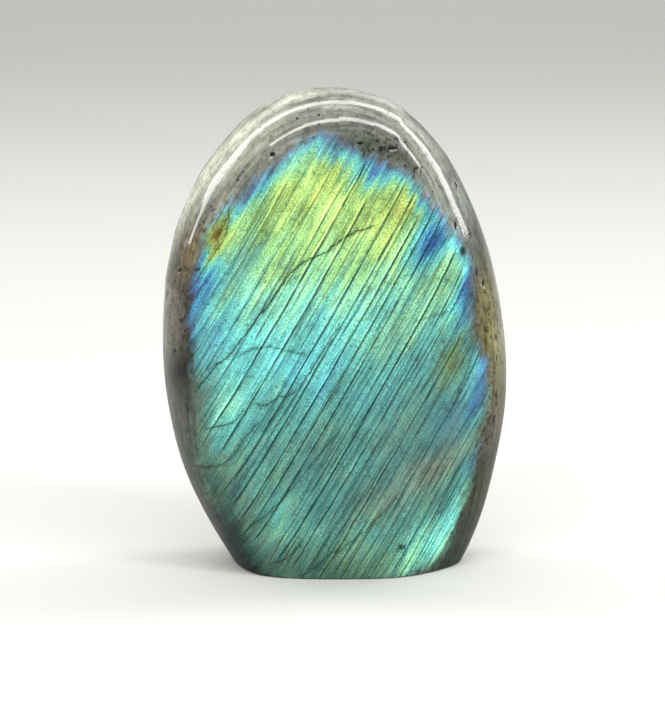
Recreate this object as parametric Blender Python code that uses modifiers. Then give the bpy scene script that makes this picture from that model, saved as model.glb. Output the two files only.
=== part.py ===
"""A polished labradorite free-form that stands upright on its sawn base.

The whole object is one stone, so it is one solid. It is ground by hand into an egg-shaped slab: a broad,
slightly crowned face on the front, a softly bevelled rim, a rounder back, and a flat sawn base to stand on.
Metres, +Z up. The flashing face looks along -Y, and the origin is the middle of the base.
"""

import math

import bmesh
import bpy
import numpy as np
from mathutils import Matrix, Vector
from mathutils.bvhtree import BVHTree

MM = 0.001

# Driving dimensions, in millimetres.
# The core is the point inside the stone that its form is measured from.
CORE_HEIGHT = 60.0
FRONT_DEPTH = 20.5
BACK_DEPTH = 21.5

# Radius of the outline seen from the front, every 15 degrees anticlockwise from +X.
# The lowest radii lie below the base, where the saw has taken the stone away.
OUTLINE_RADII = (
    41.4, 41.0, 42.5, 45.8, 51.8, 58.1, 59.6, 57.9,
    53.2, 49.1, 45.7, 43.5, 42.9, 44.4, 47.6, 53.2,
    60.5, 71.8, 85.0, 80.0, 67.4, 55.2, 48.3, 43.9,
)  # fmt: skip

# How far the bevel reaches in from the outline onto each face: every 30 degrees from +X on the front, and
# every 45 degrees on the back.
FRONT_BEVEL_INSETS = (9.0, 8.5, 8.5, 8.5, 9.0, 8.5, 8.0, 9.5, 11.5, 17.5, 27.0, 9.0)
BACK_BEVEL_INSETS = (15.0, 14.0, 16.0, 15.0, 13.0, 14.0, 12.0, 13.0)

# Share of the half depth that stays as the upright side between the two bevels, every 30 degrees from +X.
SIDE_LANDS = (0.42, 0.42, 0.42, 0.42, 0.42, 0.42, 0.40, 0.32, 0.20, 0.15, 0.12, 0.32)
# How much of a dome the two faces have: 0 is flat, 1 is a full ellipse.
FACE_CROWN = 0.46
# Higher is crisper where two ground surfaces meet.
CRISPNESS = 11.0
# The stone is this much thicker at its foot than at the core, and as much thinner at its top.
THICKNESS_TAPER = 0.13

# Soft cross ridges on the rim, where one pass of the grinding wheel ended: angle in degrees, height in mm.
WHEEL_STOPS = ((57.0, 0.30), (73.0, 0.45), (114.0, 0.35), (131.0, 0.30), (150.0, 0.30), (165.0, 0.25))
WHEEL_STOP_SPREAD = 5.0

# Broad flats ground on the back: angle round the rim, tilt from the side towards the back, and distance from
# the core.
BACK_FLATS = ((62.0, 52.0, 36.5), (215.0, 63.0, 31.0), (318.0, 60.0, 34.0))

# Natural pits in the polished skin: place across and up on the front, width, height, and lean in degrees.
PITS = (
    (-14.9, 104.0, 1.7, 1.5, 40.0),
    (5.9, 107.0, 2.3, 0.9, 10.0),
    (13.6, 105.8, 2.8, 0.9, -6.0),
    (29.7, 95.6, 1.5, 1.9, 30.0),
    (29.2, 86.4, 1.1, 2.6, 15.0),
    (36.2, 71.9, 1.3, 2.6, 30.0),
    (39.7, 53.6, 0.9, 1.7, 8.0),
    (39.6, 44.2, 1.0, 1.8, 4.0),
    (39.3, 37.8, 1.2, 3.0, -6.0),
    (-37.8, 75.2, 2.2, 1.3, -35.0),
    (-41.1, 68.2, 1.0, 2.4, -28.0),
    (-39.3, 55.6, 1.5, 1.5, 0.0),
)
PIT_DEPTH = 0.9

# Mesh fineness: steps round the rim, and steps from the middle of the front to the middle of the back.
RIM_STEPS = 96
DEPTH_STEPS = 42
# Depth against width of the ball that spreads those steps over the stone.
STEP_BALL_DEPTH = 0.5
# Eased edge round the sawn base. It is where the skin turns by more than the first of the two angles. Edges
# sharper than the second angle are shaded as edges.
BASE_ARRIS = 0.6
ARRIS_ANGLE = 48.0
SHARP_ANGLE = 40.0

FLASH_TEAL = (0.17, 0.40, 0.36, 1.0)
POLISHED_ROUGHNESS = 0.12


def clear_scene():
    for obj in list(bpy.data.objects):
        bpy.data.objects.remove(obj)


def new_collection(name):
    collection = bpy.data.collections.new(name)
    bpy.context.scene.collection.children.link(collection)
    return collection


def around_the_rim(values, angle):
    """Smooth closed curve (a cubic B-spline) through evenly spaced values, read at the angles in radians."""
    values = np.asarray(values, float)
    values = values - (np.roll(values, 1) - 2 * values + np.roll(values, -1)) / 6
    place = angle / math.tau * len(values) % len(values)
    start = np.floor(place).astype(int)
    t = place - start
    before, here, after, beyond = (values[(start + step) % len(values)] for step in (-1, 0, 1, 2))
    return (
        (1 - t) ** 3 * before
        + (3 * t**3 - 6 * t**2 + 4) * here
        + (-3 * t**3 + 3 * t**2 + 3 * t + 1) * after
        + t**3 * beyond
    ) / 6


def wheel_stop_height(angle):
    """Height of the soft cross ridges: each falls away evenly on both sides of its own angle."""
    height = np.zeros_like(angle)
    for stop, rise in WHEEL_STOPS:
        away = np.abs((np.degrees(angle) - stop + 180.0) % 360.0 - 180.0)
        height += rise * np.exp(-away / WHEEL_STOP_SPREAD)
    return height


def bevel_plane(insets, angle, outline):
    """A bevel as out * reach + deep * slope = 1: it joins the side's land to the face at the inset."""
    inner = 1 - around_the_rim(insets, angle) / outline
    land = around_the_rim(SIDE_LANDS, angle)
    slope = (1 - inner) / (1 - inner * land)
    return 1 - slope * land, slope


def stone_points(direction):
    """Points of the stone's skin along directions from the core, in millimetres from the core.

    Each ground surface is a function that is 1 on itself and grows evenly with distance from the core. The
    stone is where the power sum of them all is 1, which is their intersection with rounded edges.
    """
    x, y, z = direction.T
    angle = np.arctan2(z, x)
    outline = around_the_rim(OUTLINE_RADII, angle) + wheel_stop_height(angle)
    front_reach, front_slope = bevel_plane(FRONT_BEVEL_INSETS, angle, outline)
    back_reach, back_slope = bevel_plane(BACK_BEVEL_INSETS, angle, outline)
    edge_sum = 1 + front_reach**CRISPNESS + back_reach**CRISPNESS + FACE_CROWN**CRISPNESS
    out = np.hypot(x, z) / (outline * edge_sum ** (1 / CRISPNESS))
    deep = np.where(y < 0, -y / FRONT_DEPTH, y / BACK_DEPTH)
    surfaces = [
        out,
        np.hypot(deep, FACE_CROWN * out),
        front_reach * out - front_slope * y / FRONT_DEPTH,
        back_reach * out + back_slope * y / BACK_DEPTH,
    ]
    for rim_angle, tilt, distance in BACK_FLATS:
        rim_angle, tilt = math.radians(rim_angle), math.radians(tilt)
        facing = (math.cos(rim_angle) * math.cos(tilt), math.sin(tilt), math.sin(rim_angle) * math.cos(tilt))
        surfaces.append(direction @ np.array(facing) / distance)
    total = sum(np.maximum(surface, 0) ** CRISPNESS for surface in surfaces)
    points = direction / total[:, None] ** (1 / CRISPNESS)
    points[:, 1] *= 1 - THICKNESS_TAPER * points[:, 2] / CORE_HEIGHT
    return points


def stone_body():
    """The ground stone before it is sawn: a ball with its poles turned to the two faces, and then shaped."""
    bm = bmesh.new()
    bmesh.ops.create_uvsphere(
        bm,
        u_segments=RIM_STEPS,
        v_segments=DEPTH_STEPS,
        radius=1,
        matrix=Matrix.Diagonal((1, STEP_BALL_DEPTH, 1, 1)) @ Matrix.Rotation(math.radians(90), 4, "X"),
    )
    points = stone_points(np.array([vert.co for vert in bm.verts]))
    for vert, point in zip(bm.verts, points):
        vert.co = (Vector(point) + Vector((0, 0, CORE_HEIGHT))) * MM
    centre_over_base(bm)
    bmesh.ops.recalc_face_normals(bm, faces=bm.faces)
    return bm


def centre_over_base(bm):
    """Moves the stone so that what stands above the saw cut is centred on the origin, across and in depth."""
    kept = np.array([vert.co for vert in bm.verts if vert.co.z >= 0])
    middle = (kept.min(axis=0) + kept.max(axis=0)) / 2
    bmesh.ops.translate(bm, vec=(-middle[0], -middle[1], 0), verts=bm.verts)


def pit_cutters(body):
    """One small flattened ball for each pit, sunk where a straight line from the front meets the skin."""
    skin = BVHTree.FromBMesh(body)
    bm = bmesh.new()
    for across, up, width, height, lean in PITS:
        start = Vector((across * MM, -1, up * MM))
        place, normal, _, _ = skin.ray_cast(start, Vector((0, 1, 0)))
        facing = normal.to_track_quat("Y", "Z").to_matrix().to_4x4()
        size = Matrix.Diagonal((width / 2 * MM, PIT_DEPTH * MM, height / 2 * MM, 1))
        turn = Matrix.Rotation(math.radians(lean), 4, "Y")
        matrix = Matrix.Translation(place) @ facing @ turn @ size
        bmesh.ops.create_icosphere(bm, subdivisions=1, radius=1, matrix=matrix)
    return bm


def new_object(bm, name, collection):
    mesh = bpy.data.meshes.new(name)
    bm.to_mesh(mesh)
    bm.free()
    obj = bpy.data.objects.new(name, mesh)
    collection.objects.link(obj)
    return obj


def make_cutter(obj):
    obj.display_type = "WIRE"
    obj.hide_render = True
    return obj


def base_saw(collection):
    """A block under the base plane, wide enough to take away all of the stone below it."""
    block = 200 * MM
    bm = bmesh.new()
    bmesh.ops.create_cube(bm, size=block, matrix=Matrix.Translation((0, 0, -block / 2)))
    return make_cutter(new_object(bm, "base_saw", collection))


def cut(obj, cutter):
    boolean = obj.modifiers.new("cut " + cutter.name, "BOOLEAN")
    boolean.operation = "DIFFERENCE"
    boolean.solver = "EXACT"
    boolean.object = cutter


def ease_base_edge(obj):
    bevel = obj.modifiers.new("eased base edge", "BEVEL")
    bevel.width = BASE_ARRIS * MM
    bevel.segments = 1
    bevel.limit_method = "ANGLE"
    bevel.angle_limit = math.radians(ARRIS_ANGLE)


def labradorite_material():
    material = bpy.data.materials.new("polished labradorite")
    material.use_nodes = True
    shader = material.node_tree.nodes["Principled BSDF"]
    shader.inputs["Base Color"].default_value = FLASH_TEAL
    shader.inputs["Roughness"].default_value = POLISHED_ROUGHNESS
    shader.inputs["Metallic"].default_value = 0.0
    return material


def build():
    clear_scene()
    parts = new_collection("labradorite free-form")
    cutters = new_collection("cutters")
    body = stone_body()
    pits = make_cutter(new_object(pit_cutters(body), "pit_balls", cutters))
    stone = new_object(body, "stone", parts)
    stone.data.materials.append(labradorite_material())
    cut(stone, base_saw(cutters))
    ease_base_edge(stone)
    cut(stone, pits)
    stone.data.shade_smooth()
    stone.data.set_sharp_from_angle(angle=math.radians(SHARP_ANGLE))


build()
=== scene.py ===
"""A polished labradorite free-form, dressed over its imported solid.

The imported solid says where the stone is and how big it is. This script grinds the same form again on a finer
grid, with its eased base edge and its pits. It then gives it the depth that a polish brings out: a flash from
blue through turquoise and green to gold, the dark twin lines across it, the healed cracks and the cloudy rim.
"""

import functools
import math

import bpy
import numpy as np
from bpy.props import FloatProperty, FloatVectorProperty, PointerProperty
from mathutils import Matrix, Vector


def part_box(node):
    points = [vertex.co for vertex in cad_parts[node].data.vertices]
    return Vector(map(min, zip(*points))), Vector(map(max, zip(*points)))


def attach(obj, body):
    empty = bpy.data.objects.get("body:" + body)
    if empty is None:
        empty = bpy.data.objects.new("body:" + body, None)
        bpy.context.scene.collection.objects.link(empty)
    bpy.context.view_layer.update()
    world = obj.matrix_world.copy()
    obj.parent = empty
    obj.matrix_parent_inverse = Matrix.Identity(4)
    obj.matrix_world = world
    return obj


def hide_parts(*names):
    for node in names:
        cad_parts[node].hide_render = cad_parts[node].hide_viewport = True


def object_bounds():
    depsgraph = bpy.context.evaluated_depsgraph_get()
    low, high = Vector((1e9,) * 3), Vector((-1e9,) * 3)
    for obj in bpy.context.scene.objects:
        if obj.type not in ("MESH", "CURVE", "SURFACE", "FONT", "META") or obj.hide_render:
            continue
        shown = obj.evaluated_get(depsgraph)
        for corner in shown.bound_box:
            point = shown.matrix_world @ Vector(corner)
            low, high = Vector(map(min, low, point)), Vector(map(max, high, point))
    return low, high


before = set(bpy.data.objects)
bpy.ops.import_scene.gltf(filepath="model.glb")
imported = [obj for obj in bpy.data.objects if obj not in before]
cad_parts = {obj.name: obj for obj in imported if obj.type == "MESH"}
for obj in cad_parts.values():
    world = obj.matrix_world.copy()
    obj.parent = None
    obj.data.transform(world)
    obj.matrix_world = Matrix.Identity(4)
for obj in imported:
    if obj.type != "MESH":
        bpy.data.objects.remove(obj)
PACKED_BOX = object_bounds()

bl_info = {
    "name": "Polished labradorite free-form",
    "version": (1, 0, 0),
    "blender": (4, 5, 0),
    "location": "3D View > Sidebar > Labradorite",
    "description": "Grinds, polishes and lights a labradorite free-form around its packed solid",
    "category": "Object",
}

MM = 0.001
# Farther than any point of the stone lies from a line or a spot, in millimetres.
FAR = 1000.0

# The ground form, in millimetres, with angles in degrees round the rim from +X, anticlockwise from the front.
# Radius of the outline, every 15 degrees. The lowest radii lie below the sawn base.
OUTLINE_RADII = (
    41.4, 41.0, 42.5, 45.8, 51.8, 58.1, 59.6, 57.9,
    53.2, 49.1, 45.7, 43.5, 42.9, 44.4, 47.6, 53.2,
    60.5, 71.8, 85.0, 80.0, 67.4, 55.2, 48.3, 43.9,
)  # fmt: skip
# How far the bevel reaches in from it: every 30 degrees on the front, and every 45 degrees on the back.
FRONT_BEVEL_INSETS = (9.0, 8.5, 8.5, 8.5, 9.0, 8.5, 8.0, 9.5, 11.5, 17.5, 27.0, 9.0)
BACK_BEVEL_INSETS = (15.0, 14.0, 16.0, 15.0, 13.0, 14.0, 12.0, 13.0)
# Share of the half depth that stays upright between the two bevels, every 30 degrees.
SIDE_LANDS = (0.42, 0.42, 0.42, 0.42, 0.42, 0.42, 0.40, 0.32, 0.20, 0.15, 0.12, 0.32)
# Soft cross ridges where passes of the grinding wheel ended: angle and height.
WHEEL_STOPS = ((57.0, 0.30), (73.0, 0.45), (114.0, 0.35), (131.0, 0.30), (150.0, 0.30), (165.0, 0.25))
WHEEL_STOP_SPREAD = 5.0
# The bevel beyond one of those passes is tilted about its middle, which lies this far inside the outline.
PASS_END = 73.0
PASS_TILT = 0.075
BEVEL_MIDDLE = 4.5
# Both shoulders keep soft facets from the wheel.
FACET_WIDTH = 2.4
FACET_HEIGHT = 0.03
# Flats on the back: angle round the rim, tilt from the side towards the back, and distance from the core.
BACK_FLATS = ((62.0, 52.0, 36.5), (215.0, 63.0, 31.0), (318.0, 60.0, 34.0))
# Pits: place across and up on the front, width, height, and lean in degrees.
PITS = (
    (-14.9, 104, 1.7, 1.5, 40),
    (5.9, 107, 2.3, 0.9, 10),
    (13.6, 105.8, 2.8, 0.9, -6),
    (29.7, 95.6, 1.5, 1.9, 30),
    (29.2, 86.4, 1.1, 2.6, 15),
    (36.2, 71.9, 1.3, 2.6, 30),
    (39.7, 53.6, 0.9, 1.7, 8),
    (39.6, 44.2, 1, 1.8, 4),
    (39.3, 37.8, 1.2, 3, -6),
    (-37.8, 75.2, 2.2, 1.3, -35),
    (-41.1, 68.2, 1, 2.4, -28),
    (-39.3, 55.6, 1.5, 1.5, 0),
)
# The distance from a pit, in its own radii, is kept up to this.
CLEAR_OF_PIT = 3.0

# Grid fineness: steps round the stone, and rows up its skin, over its base edge and in across its base.
TURN_STEPS = 384
SKIN_ROWS = 226
EDGE_ROWS = 4
BASE_ROWS = 12
# Half the width, depth and height of the ball whose even grid is laid on the stone.
STEP_BALL = (42, 22, 60)
# How often the range is halved when a height on the skin is looked for.
HALVINGS = 40
# About the mean radius of the outline, in metres: it turns an angle round the rim into a length.
RIM_RADIUS = 52 * MM

# The twin planes in the feldspar meet the front in lines that lean this far up from level. The planes lean
# back, so the lines move across by a share of the depth behind the flashing face.
TWIN_LEAN = 59.5
TWIN_DRIFT = 0.35
FACE_PLACE = -19.0
# Each line: how far across the lines it lies, where it starts and ends along them, and how dark it is.
TWIN_LINES = (
    (-66.5, 52, 86, 0.25), (-63.8, 44, 84, 0.25), (-61.0, 35, 75, 0.30), (-59.0, 20, 78, 0.35),
    (-56.5, 27, 75, 0.25), (-53.3, 27, 62, 0.50), (-51.3, 46, 86, 0.55), (-49.4, 21, 66, 0.50),
    (-47.3, 42, 85, 0.60), (-44.9, 17, 92, 0.85), (-42.7, 58, 76, 0.30), (-40.5, 14, 84, 0.85),
    (-38.3, 42, 82, 0.40), (-36.0, 13, 45, 0.35), (-34.3, 9, 95, 0.75), (-32.5, 18, 35, 0.30),
    (-31.1, 4, 92, 0.75), (-30.0, 50, 90, 0.55), (-27.7, 2, 86, 0.85), (-26.4, 60, 92, 0.40),
    (-24.9, -2, 92, 0.75), (-23.3, 58, 86, 0.30), (-22.2, -2, 90, 0.75), (-20.3, 28, 82, 0.40),
    (-18.9, 18, 76, 0.40), (-17.2, 0, 82, 0.50), (-15.1, -2, 84, 0.90), (-13.5, 43, 78, 0.35),
    (-11.4, -2, 82, 0.65), (-9.3, 42, 78, 0.50), (-7.8, 0, 55, 0.50), (-6.4, 50, 75, 0.50),
    (-4.4, -2, 68, 0.65), (-1.9, 0, 62, 0.50), (-0.6, 2, 20, 0.30), (2.5, 2, 68, 0.60),
    (4.3, 2, 42, 0.40), (6.3, 2, 36, 0.45), (7.6, 18, 52, 0.35), (9.0, 8, 62, 0.30),
    (10.7, 7, 52, 0.50), (13.2, 6, 46, 0.60), (15.1, 9, 44, 0.50),
    (17.2, 12, 40, 0.40), (19.5, 14, 40, 0.35),
)  # fmt: skip

# Faint lines go on beyond the listed ones: how many, how far apart and how dark. On the rim and the back all
# lines are equally dark.
FURTHER_LINES = 15
FURTHER_GAP = 3.5
FURTHER_DARK = 0.2
RIM_LINE_DARK = 0.3
# Layers of crystal have slipped past each other along the lines, by a sum of sines of the place across them.
# Each sine has its height, its pace and its start.
SLIPS = ((1.3, 1.9, 0), (0.9, 4.1, 1), (0.7, 8.3, 2))
# Share of that slip that shows in the edge of the flash, and how far in from there its colours run to blue.
EDGE_SLIP = 0.3
FRINGE_REACH = 1.8

# Healed cracks on the front: how dark, then points across and up.
CRACKS = (
    (0.75, ((8.9, 86.9), (6.3, 86.2), (2.4, 84.5), (-2.4, 80.7), (-7.5, 78.5), (-10.9, 75.7), (-13.2, 71.9),
            (-18.6, 64.8), (-22.3, 60.0), (-25.4, 55.8), (-28.4, 53.5), (-33.2, 47.3))),
    (0.55, ((-22.9, 55.8), (-20.5, 57.1), (-16.2, 58.0), (-12.8, 57.2), (-7.5, 56.1))),
    (0.65, ((-30.6, 37.5), (-26.7, 38.5), (-24.2, 39.5), (-22.3, 42.3))),
    (0.60, ((-33.8, 27.2), (-31.0, 27.6), (-27.5, 28.4), (-25.0, 30.5), (-21.6, 35.9), (-18.6, 38.9))),
    (0.60, ((-15.2, 3.9), (-12.0, 5.1), (-8.5, 8.8))),
    (0.55, ((-20.5, 13.2), (-16.3, 16.5), (-12.1, 20.8), (-8.2, 25.8), (-4.3, 30.8), (0.5, 36.5))),
    (0.60, ((-8.5, 0.5), (-4.9, 3.2), (0.8, 8.1))),
    (0.45, ((20.3, 64.3), (23.0, 65.0), (27.6, 66.3))),
    (0.65, ((1.0, 62.7), (-2.6, 57.1), (-6.3, 51.3), (-9.6, 46.8), (-11.8, 45.6), (-13.3, 45.8),
            (-16.7, 43.3), (-18.6, 43.6))),
    (0.60, ((-25.5, 90.5), (-25.5, 88.1), (-26.5, 84.0), (-28.4, 81.1))),
    (0.50, ((15.6, 21.5), (13.4, 18.8), (7.1, 12.1), (0.5, 6.8))),
    (0.40, ((24.9, 27.8), (23.5, 24.6), (19.1, 19.4))),
    (0.45, ((35.5, 63.5), (34.5, 59.4), (32.8, 54.0), (30.4, 47.3), (28.7, 43.1))),
)  # fmt: skip

# Dark mineral spots under the polish: place across and up, width, height, lean in degrees, darkness.
SPOTS = (
    (-29.3, 90.3, 1.6, 1, 20, 0.8),
    (-33.4, 75.8, 3.2, 1.6, 10, 0.8),
    (-36, 75.6, 5, 0.9, 4, 0.6),
    (-39.5, 73.2, 4, 0.8, 35, 0.5),
    (-34.9, 58.5, 4.5, 1.2, 25, 0.7),
    (31, 80.7, 2.6, 3, 0, 0.8),
    (34.3, 74.8, 1.8, 3.4, 20, 0.8),
    (16.4, 7.5, 3, 3.4, 30, 0.6),
    (8.9, 107.1, 6, 2, -5, 0.35),
    (12, 105, 7, 2.4, -12, 0.45),
    (22.9, 93.6, 1.2, 1.2, 0, 0.5),
    (28, 88.5, 1.4, 1.6, 0, 0.6),
    (25, 57.5, 1.6, 6, 32, 0.3),
)

# Where dark specks are strewn: place, reach along and across their lean, lean, amount.
SPECK_ZONES = (
    (11, 105.5, 9, 4, -12, 1),  # top, right of the middle
    (19, 101, 6, 3, -45, 0.9),  # further right
    (-21, 97.5, 9, 3.5, 48, 0.5),  # upper left
    (-38.5, 68, 15, 4.5, 88, 1),  # left rim
    (-31.5, 86, 5, 4, 60, 0.7),  # left shoulder
    (38.8, 60, 17, 4.5, 95, 1),  # right rim
    (37, 36, 14, 4, 78, 1),  # lower right rim
    (32.5, 84, 11, 3.2, 115, 0.8),  # right shoulder
)

# Edge of the flashing area on the front, across and up.
FLASH_EDGE = (
    (-26.7, 90.5), (-22.7, 94.2), (-18.8, 98.4), (-12.5, 103.0), (-7.9, 106.6), (-4.2, 108.6), (0.3, 108.0),
    (4.1, 105.0), (12.0, 101.8), (16.6, 100.0), (22.4, 94.0), (28.2, 85.8), (31.6, 79.3), (33.4, 75.3),
    (33.0, 68.7), (33.2, 61.9), (34.5, 56.5), (37.2, 52.5), (37.6, 46.9), (35.4, 36.0), (35.0, 30.8),
    (33.8, 25.4), (31.8, 18.3), (29.6, 11.6), (27.2, 6.0), (23.5, 1.6), (13.5, -1.5), (-12.0, -1.5),
    (-20.5, 2.0), (-26.5, 10.0), (-31.5, 19.0), (-34.0, 29.0), (-34.4, 40.0), (-34.4, 56.0), (-35.3, 65.0),
    (-33.6, 74.5), (-30.6, 85.3),
)  # fmt: skip

# How the flash changes with height: millimetres up, place on the flash's run of colours, brightness, and how
# much of the flash there is.
FLASH_BY_HEIGHT = (
    (0, 0.58, 0.25, 0.80), (5, 0.57, 0.32, 0.80), (12, 0.55, 0.52, 0.82), (20, 0.54, 0.37, 0.80),
    (32, 0.50, 0.40, 0.82), (45, 0.48, 0.57, 0.92), (52, 0.46, 0.70, 1.00), (62, 0.50, 0.76, 1.00),
    (69, 0.57, 0.82, 1.00), (74, 0.64, 0.88, 1.00), (81, 0.70, 0.88, 1.00), (93, 0.80, 0.80, 1.00),
    (98, 0.85, 0.82, 1.00), (106, 0.76, 0.82, 1.00),
)  # fmt: skip

# Zones that stand out in it: place across and up, reach along and across their lean, lean in degrees, place
# on the run of colours, brightness, how much of the flash is left, and how strongly the zone covers.
FLASH_ZONES = (
    (-17.5, 89.7, 12, 5, 59, 0.73, 0.62, 1, 0.7),  # green left shoulder
    (-9, 93.5, 6, 4, 59, 0.73, 0.60, 1, 0.8),  # green above it
    (-8.5, 101, 4, 3, 59, 0.64, 0.82, 1, 0.8),  # mint above that
    (-19, 97.2, 9.5, 2.4, 47, 0.19, 0.54, 0.75, 0.9),  # blue band along the upper left edge
    (0.5, 106.5, 4.5, 4.5, 20, 0.18, 0.46, 0.42, 0.9),  # blue at the top
    (9.9, 101.8, 5, 4.6, 59, 0.10, 0.46, 0.75, 0.9),  # blue right of the top
    (21.3, 95.6, 7, 2.8, 114, 0.12, 0.50, 0.90, 1),  # blue right shoulder
    (4.4, 100.6, 5.5, 1.8, 59, 0.50, 0.74, 1, 0.8),  # turquoise between the blues
    (15.2, 90.2, 9, 3.6, 59, 0.88, 0.54, 1, 0.8),  # gold on the right
    (-2, 96.5, 7, 3, 59, 0.88, 0.94, 1, 0.8),  # yellow at the top
    (23.9, 84, 10, 4, 59, 0.36, 0.74, 1, 0.85),  # cyan round the deep blue spot
    (22.4, 81.8, 6.4, 2.8, 62, 0.00, 0.27, 1, 1),  # deep blue spot
    (27.6, 73, 7, 2, 59, 0.68, 0.54, 1, 0.8),  # green streak below it
    (31.9, 72, 9, 1.5, 80, 0.15, 0.62, 0.9, 0.9),  # blue right edge, upper
    (32.2, 60, 8, 2.4, 85, 0.14, 0.54, 0.75, 0.9),  # blue right edge, middle
    (35, 47.2, 11, 2.8, 72, 0.05, 0.68, 0.90, 0.95),  # lavender blue right edge
    (28.5, 39.5, 8, 3, 66, 0.18, 0.34, 0.55, 0.9),  # grey blue inside it
    (34.2, 29, 4, 1.5, 65, 0.10, 0.70, 0.9, 0.95),  # small blue patch, lower right
    (-31.1, 71.5, 7.5, 2.6, 59, 0.15, 0.47, 1, 0.95),  # sky blue patch on the left
    (-32.4, 80, 5, 1.1, 80, 0.10, 0.48, 0.8, 0.9),  # thin blue left edge
    (-28.6, 84.4, 5.6, 2.7, 72, 0.98, 0.24, 1, 1),  # amber fleck
    (-23.6, 75.7, 10, 3.4, 59, 0.52, 0.44, 0.78, 0.9),  # grey-green behind the amber
    (-30, 59, 10, 3.4, 62, 0.36, 0.64, 1, 0.8),  # teal left middle
    (-26.2, 42.5, 7, 4, 59, 0.55, 0.86, 0.9, 0.9),  # bright aqua patch, lower left
    (-8.7, 51.7, 5, 2.6, 59, 0.38, 0.84, 1, 0.8),  # cyan in the middle
    (-2, 49.2, 7, 2, 59, 0.34, 0.66, 1, 0.8),  # cyan beside it
    (-1, 41, 16, 4, 59, 0.50, 0.40, 0.80, 0.7),  # duller below it
    (-8.5, 26.5, 12, 5, 59, 0.52, 0.27, 0.66, 0.8),  # duller, lower middle
    (16.5, 66, 16, 7, 59, 0.61, 0.60, 0.92, 0.8),  # greener right of the middle
    (17, 37, 25, 12, 59, 0.48, 0.25, 0.72, 0.9),  # dull grey teal, lower right
    (28.5, 54.5, 8, 3.6, 59, 0.74, 0.22, 0.66, 0.9),  # dark green, right
    (22, 26.5, 17, 4.6, 33, 0.56, 0.38, 0.36, 0.85),  # tan streak, lower right
    (30, 15.6, 10, 2.4, 66, 0.52, 1.12, 1, 1),  # mint flash along the lower right edge
    (23, 6.5, 10, 4.2, 36, 0.54, 1.15, 1, 1),  # mint flash at the foot
    (-3.6, 2.5, 15, 4, 0, 0.60, 0.16, 0.80, 0.8),  # green foot
    (-31, 24, 17, 6, 117, 0.57, 0.28, 0.32, 0.9),  # grey-green lower left
    (-23.5, 8, 10, 5.5, 128, 0.54, 0.07, 0.20, 0.95),  # dark lower left foot
    (-35.5, 40, 15, 5, 82, 0.57, 0.36, 0.22, 0.95),  # dim grey left edge
    (-14.6, 15.5, 11, 4, 59, 0.54, 0.50, 0.90, 0.6),  # brighter teal, lower left
)


def linear(code):
    """An sRGB hex colour as linear red, green and blue."""
    values = [int(code[i : i + 2], 16) / 255 for i in (1, 3, 5)]
    return tuple(v / 12.92 if v <= 0.04045 else ((v + 0.055) / 1.055) ** 2.4 for v in values)


# Colour of the stone round the rim, every 30 degrees from +X, where it doesn't flash.
# The lighter values at 60 and 120 degrees are painted highlight streaks from the lamps.
RIM_TINTS_AND_HIGHLIGHTS = (
    "#5E5B42", "#3E423F", "#8A8D82", "#53564F", "#98998A", "#4A4A42",
    "#3C3B31", "#4C5149", "#1A1D1B", "#26352F", "#333830", "#474836",
)  # fmt: skip
# Its colour well inside the rim, where the flash is dull.
INNER_TINT = "#646B67"
# The outer edge is painted paler at the upper left, a painted glow where light comes through: how far in that
# reaches, the angle round the rim where it is strongest, and how much it adds there.
PAINTED_GLOW_REACH = 1.8
PAINTED_GLOW_ANGLE = math.radians(130)
PAINTED_GLOW_GAIN = 2.6
# The lightest that the stone's own colour gets, in its lightest linear channel.
PALEST_TINT = 0.42
# Patches of other colour outside the flash: place, reach along and across their lean, lean, colour, cover.
RIM_ZONES = (
    (-39.3, 66, 10, 3.4, 85, "#5A5546", 0.85),  # cream, left
    (-34.8, 80.5, 6, 2.2, 70, "#6E5F3E", 0.8),  # brown, left
    (-37.6, 51, 6.5, 3.4, 62, "#181A18", 1),  # painted shade on the left rim
    (9.5, 106, 9, 4, -10, "#4A4E44", 0.95),  # dark mottling, top right
    (17.5, 102.5, 5.5, 2.6, -42, "#585B51", 0.9),  # the same, further right
    (-21, 98, 9, 3, 45, "#686D61", 0.8),  # grey, upper left
    (38.6, 63, 12, 3.2, 95, "#7A7548", 0.9),  # olive, right
    (39, 45, 9, 2.4, 82, "#5A5636", 0.85),  # darker olive, below it
    (36.5, 32, 9, 3, 75, "#393B30", 0.8),  # brown, lower right
    (22, 26.5, 17, 4.2, 33, "#7E7068", 0.95),  # tan under the dulled flash
    (-30.5, 20, 12, 4, 117, "#3A403A", 0.7),  # warm grey, lower left
    (-31, 35, 13, 3.2, 88, "#62675D", 0.85),  # paler grey above it
    (33, 93, 9, 3, 118, "#575B55", 0.6),  # pale grey, right shoulder
)

# The studio, in metres. Both arches of lamps have their middle inside the stone, and a lamp every 20 degrees.
ARCH_MIDDLE = Vector((0, -0.015, 0.09))
ARCH_STEP = math.radians(20)
# Each arch: its radius, its gain on the radiance, how far back and how wide each lamp is, and the numbers of
# the lamps that aren't mirrored. The lamps run from the lowest on the right, over the top, to the lowest on
# the left. The front arch comes less far forward on the right, so its reflection nears the other one there.
ARCHES = {
    "front arch": (
        0.84, 2.0,
        (-0.42, -0.44, -0.50, -0.57, -0.64, -0.69, -0.70, -0.70),
        (0.15, 0.15, 0.15, 0.16, 0.15, 0.13, 0.12, 0.12),
        (0, 6, 7),
    ),
    "back arch": (1.0, 1.0, (0.36,) * 8, (0.26, 0.26, 0.26, 0.19, 0.19, 0.20, 0.20, 0.20), ()),
}  # fmt: skip
# Squares along each side of the floor.
FLOOR_STEPS = 8
# The camera's picture: its height in pixels, its pixels for each metre at the stone, and how far below and to
# the left of the stone's middle it aims.
PICTURE_HEIGHT = 702
PICTURE_SCALE = 4030
AIM_BELOW = 0.0064
AIM_LEFT = 0.00057


def colour(name, code, text):
    """A colour that a user may change, given as an sRGB hex value."""
    return FloatVectorProperty(
        name=name, description=text, default=linear(code), size=3, min=0, max=1, subtype="COLOR"
    )


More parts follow.
